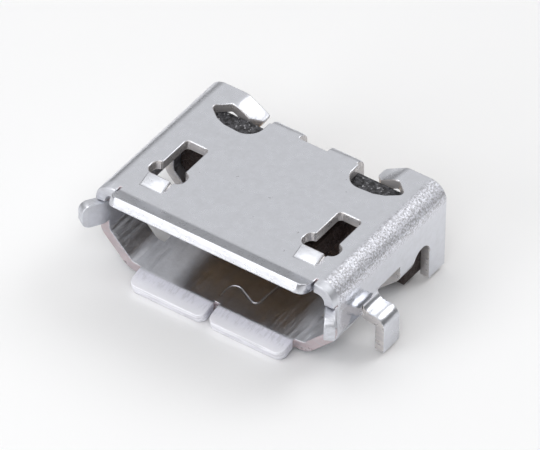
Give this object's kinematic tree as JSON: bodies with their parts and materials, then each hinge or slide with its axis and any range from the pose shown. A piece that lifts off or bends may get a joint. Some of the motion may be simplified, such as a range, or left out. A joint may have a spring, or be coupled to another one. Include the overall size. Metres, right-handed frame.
{
  "type": "micro usb socket",
  "caption": "Surface-mount data and power socket: folded sheet shell with flared mouth, latch windows and solder legs round a moulded tongue with five flat contacts.",
  "frame": {"origin": "on the board plane, under the middle of the shell's width and depth", "axes": "+X across the mouth, +Y from the mouth to the rear, +Z away from the board"},
  "size_m": [0.0088, 0.006, 0.003],
  "materials": {
    "shell": "satin nickel plate over steel sheet, with bright cut edges",
    "housing": "matt black glass-filled moulding",
    "contacts": "gold plated copper alloy"
  },
  "bodies": {
    "root": {"shell": "shell", "housing": "housing", "contact_1": "contacts", "contact_2": "contacts", "contact_3": "contacts", "contact_4": "contacts", "contact_5": "contacts"}
  },
  "joints": []
}
